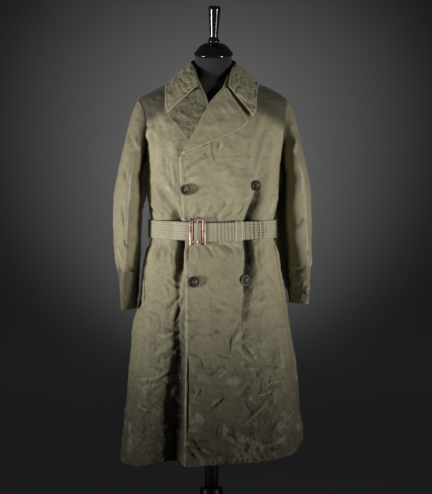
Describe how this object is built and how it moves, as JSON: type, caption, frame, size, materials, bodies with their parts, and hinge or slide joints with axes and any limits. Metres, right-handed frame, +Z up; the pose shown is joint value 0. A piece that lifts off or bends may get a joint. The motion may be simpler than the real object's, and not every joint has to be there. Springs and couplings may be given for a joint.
{
  "type": "mackintosh on dress form",
  "caption": "Long double-breasted waterproof overcoat with wide notched collar and lapels, buckled waist belt and slanting pockets, worn open-necked on a limbless dress form with a pole stand.",
  "frame": {"origin": "middle of the underside of the stand's foot, on the floor", "axes": "+Z up the pole, -Y the front of the coat, +X the wearer's left"},
  "size_m": [0.5676, 0.4285, 1.6789],
  "materials": {
    "shell_cloth": "olive drab cotton gabardine, a faint sheen, worn pale along edges and creases",
    "belt_cloth": "olive drab cotton, stitched in close rows, paler than the coat",
    "buckle_metal": "copper-coloured buckle with dark worn edges",
    "button_horn": "dark brown, half gloss, four holes and a raised rim",
    "form_jersey": "black matt jersey",
    "turned_black": "gloss black lacquer",
    "stand_metal": "satin black"
  },
  "bodies": {
    "root": {"front_left": "shell_cloth", "front_right": "shell_cloth", "back": "shell_cloth", "lapel_left": "shell_cloth", "lapel_right": "shell_cloth", "collar_fall": "shell_cloth", "collar_stand": "shell_cloth", "sleeve_left": "shell_cloth", "sleeve_right": "shell_cloth", "cuff_patch_left": "shell_cloth", "cuff_patch_right": "shell_cloth", "pocket_welt_left": "shell_cloth", "pocket_welt_right": "shell_cloth", "belt": "belt_cloth", "belt_keeper": "belt_cloth", "belt_loop_left": "shell_cloth", "belt_loop_right": "shell_cloth", "buckle": "buckle_metal", "button_upper_right": "button_horn", "button_upper_left": "button_horn", "button_lower_right": "button_horn", "button_lower_left": "button_horn", "form_torso": "form_jersey", "neck_cap": "turned_black", "finial": "turned_black", "pole": "stand_metal", "pole_hub": "stand_metal", "column": "stand_metal", "base": "stand_metal"}
  },
  "joints": []
}
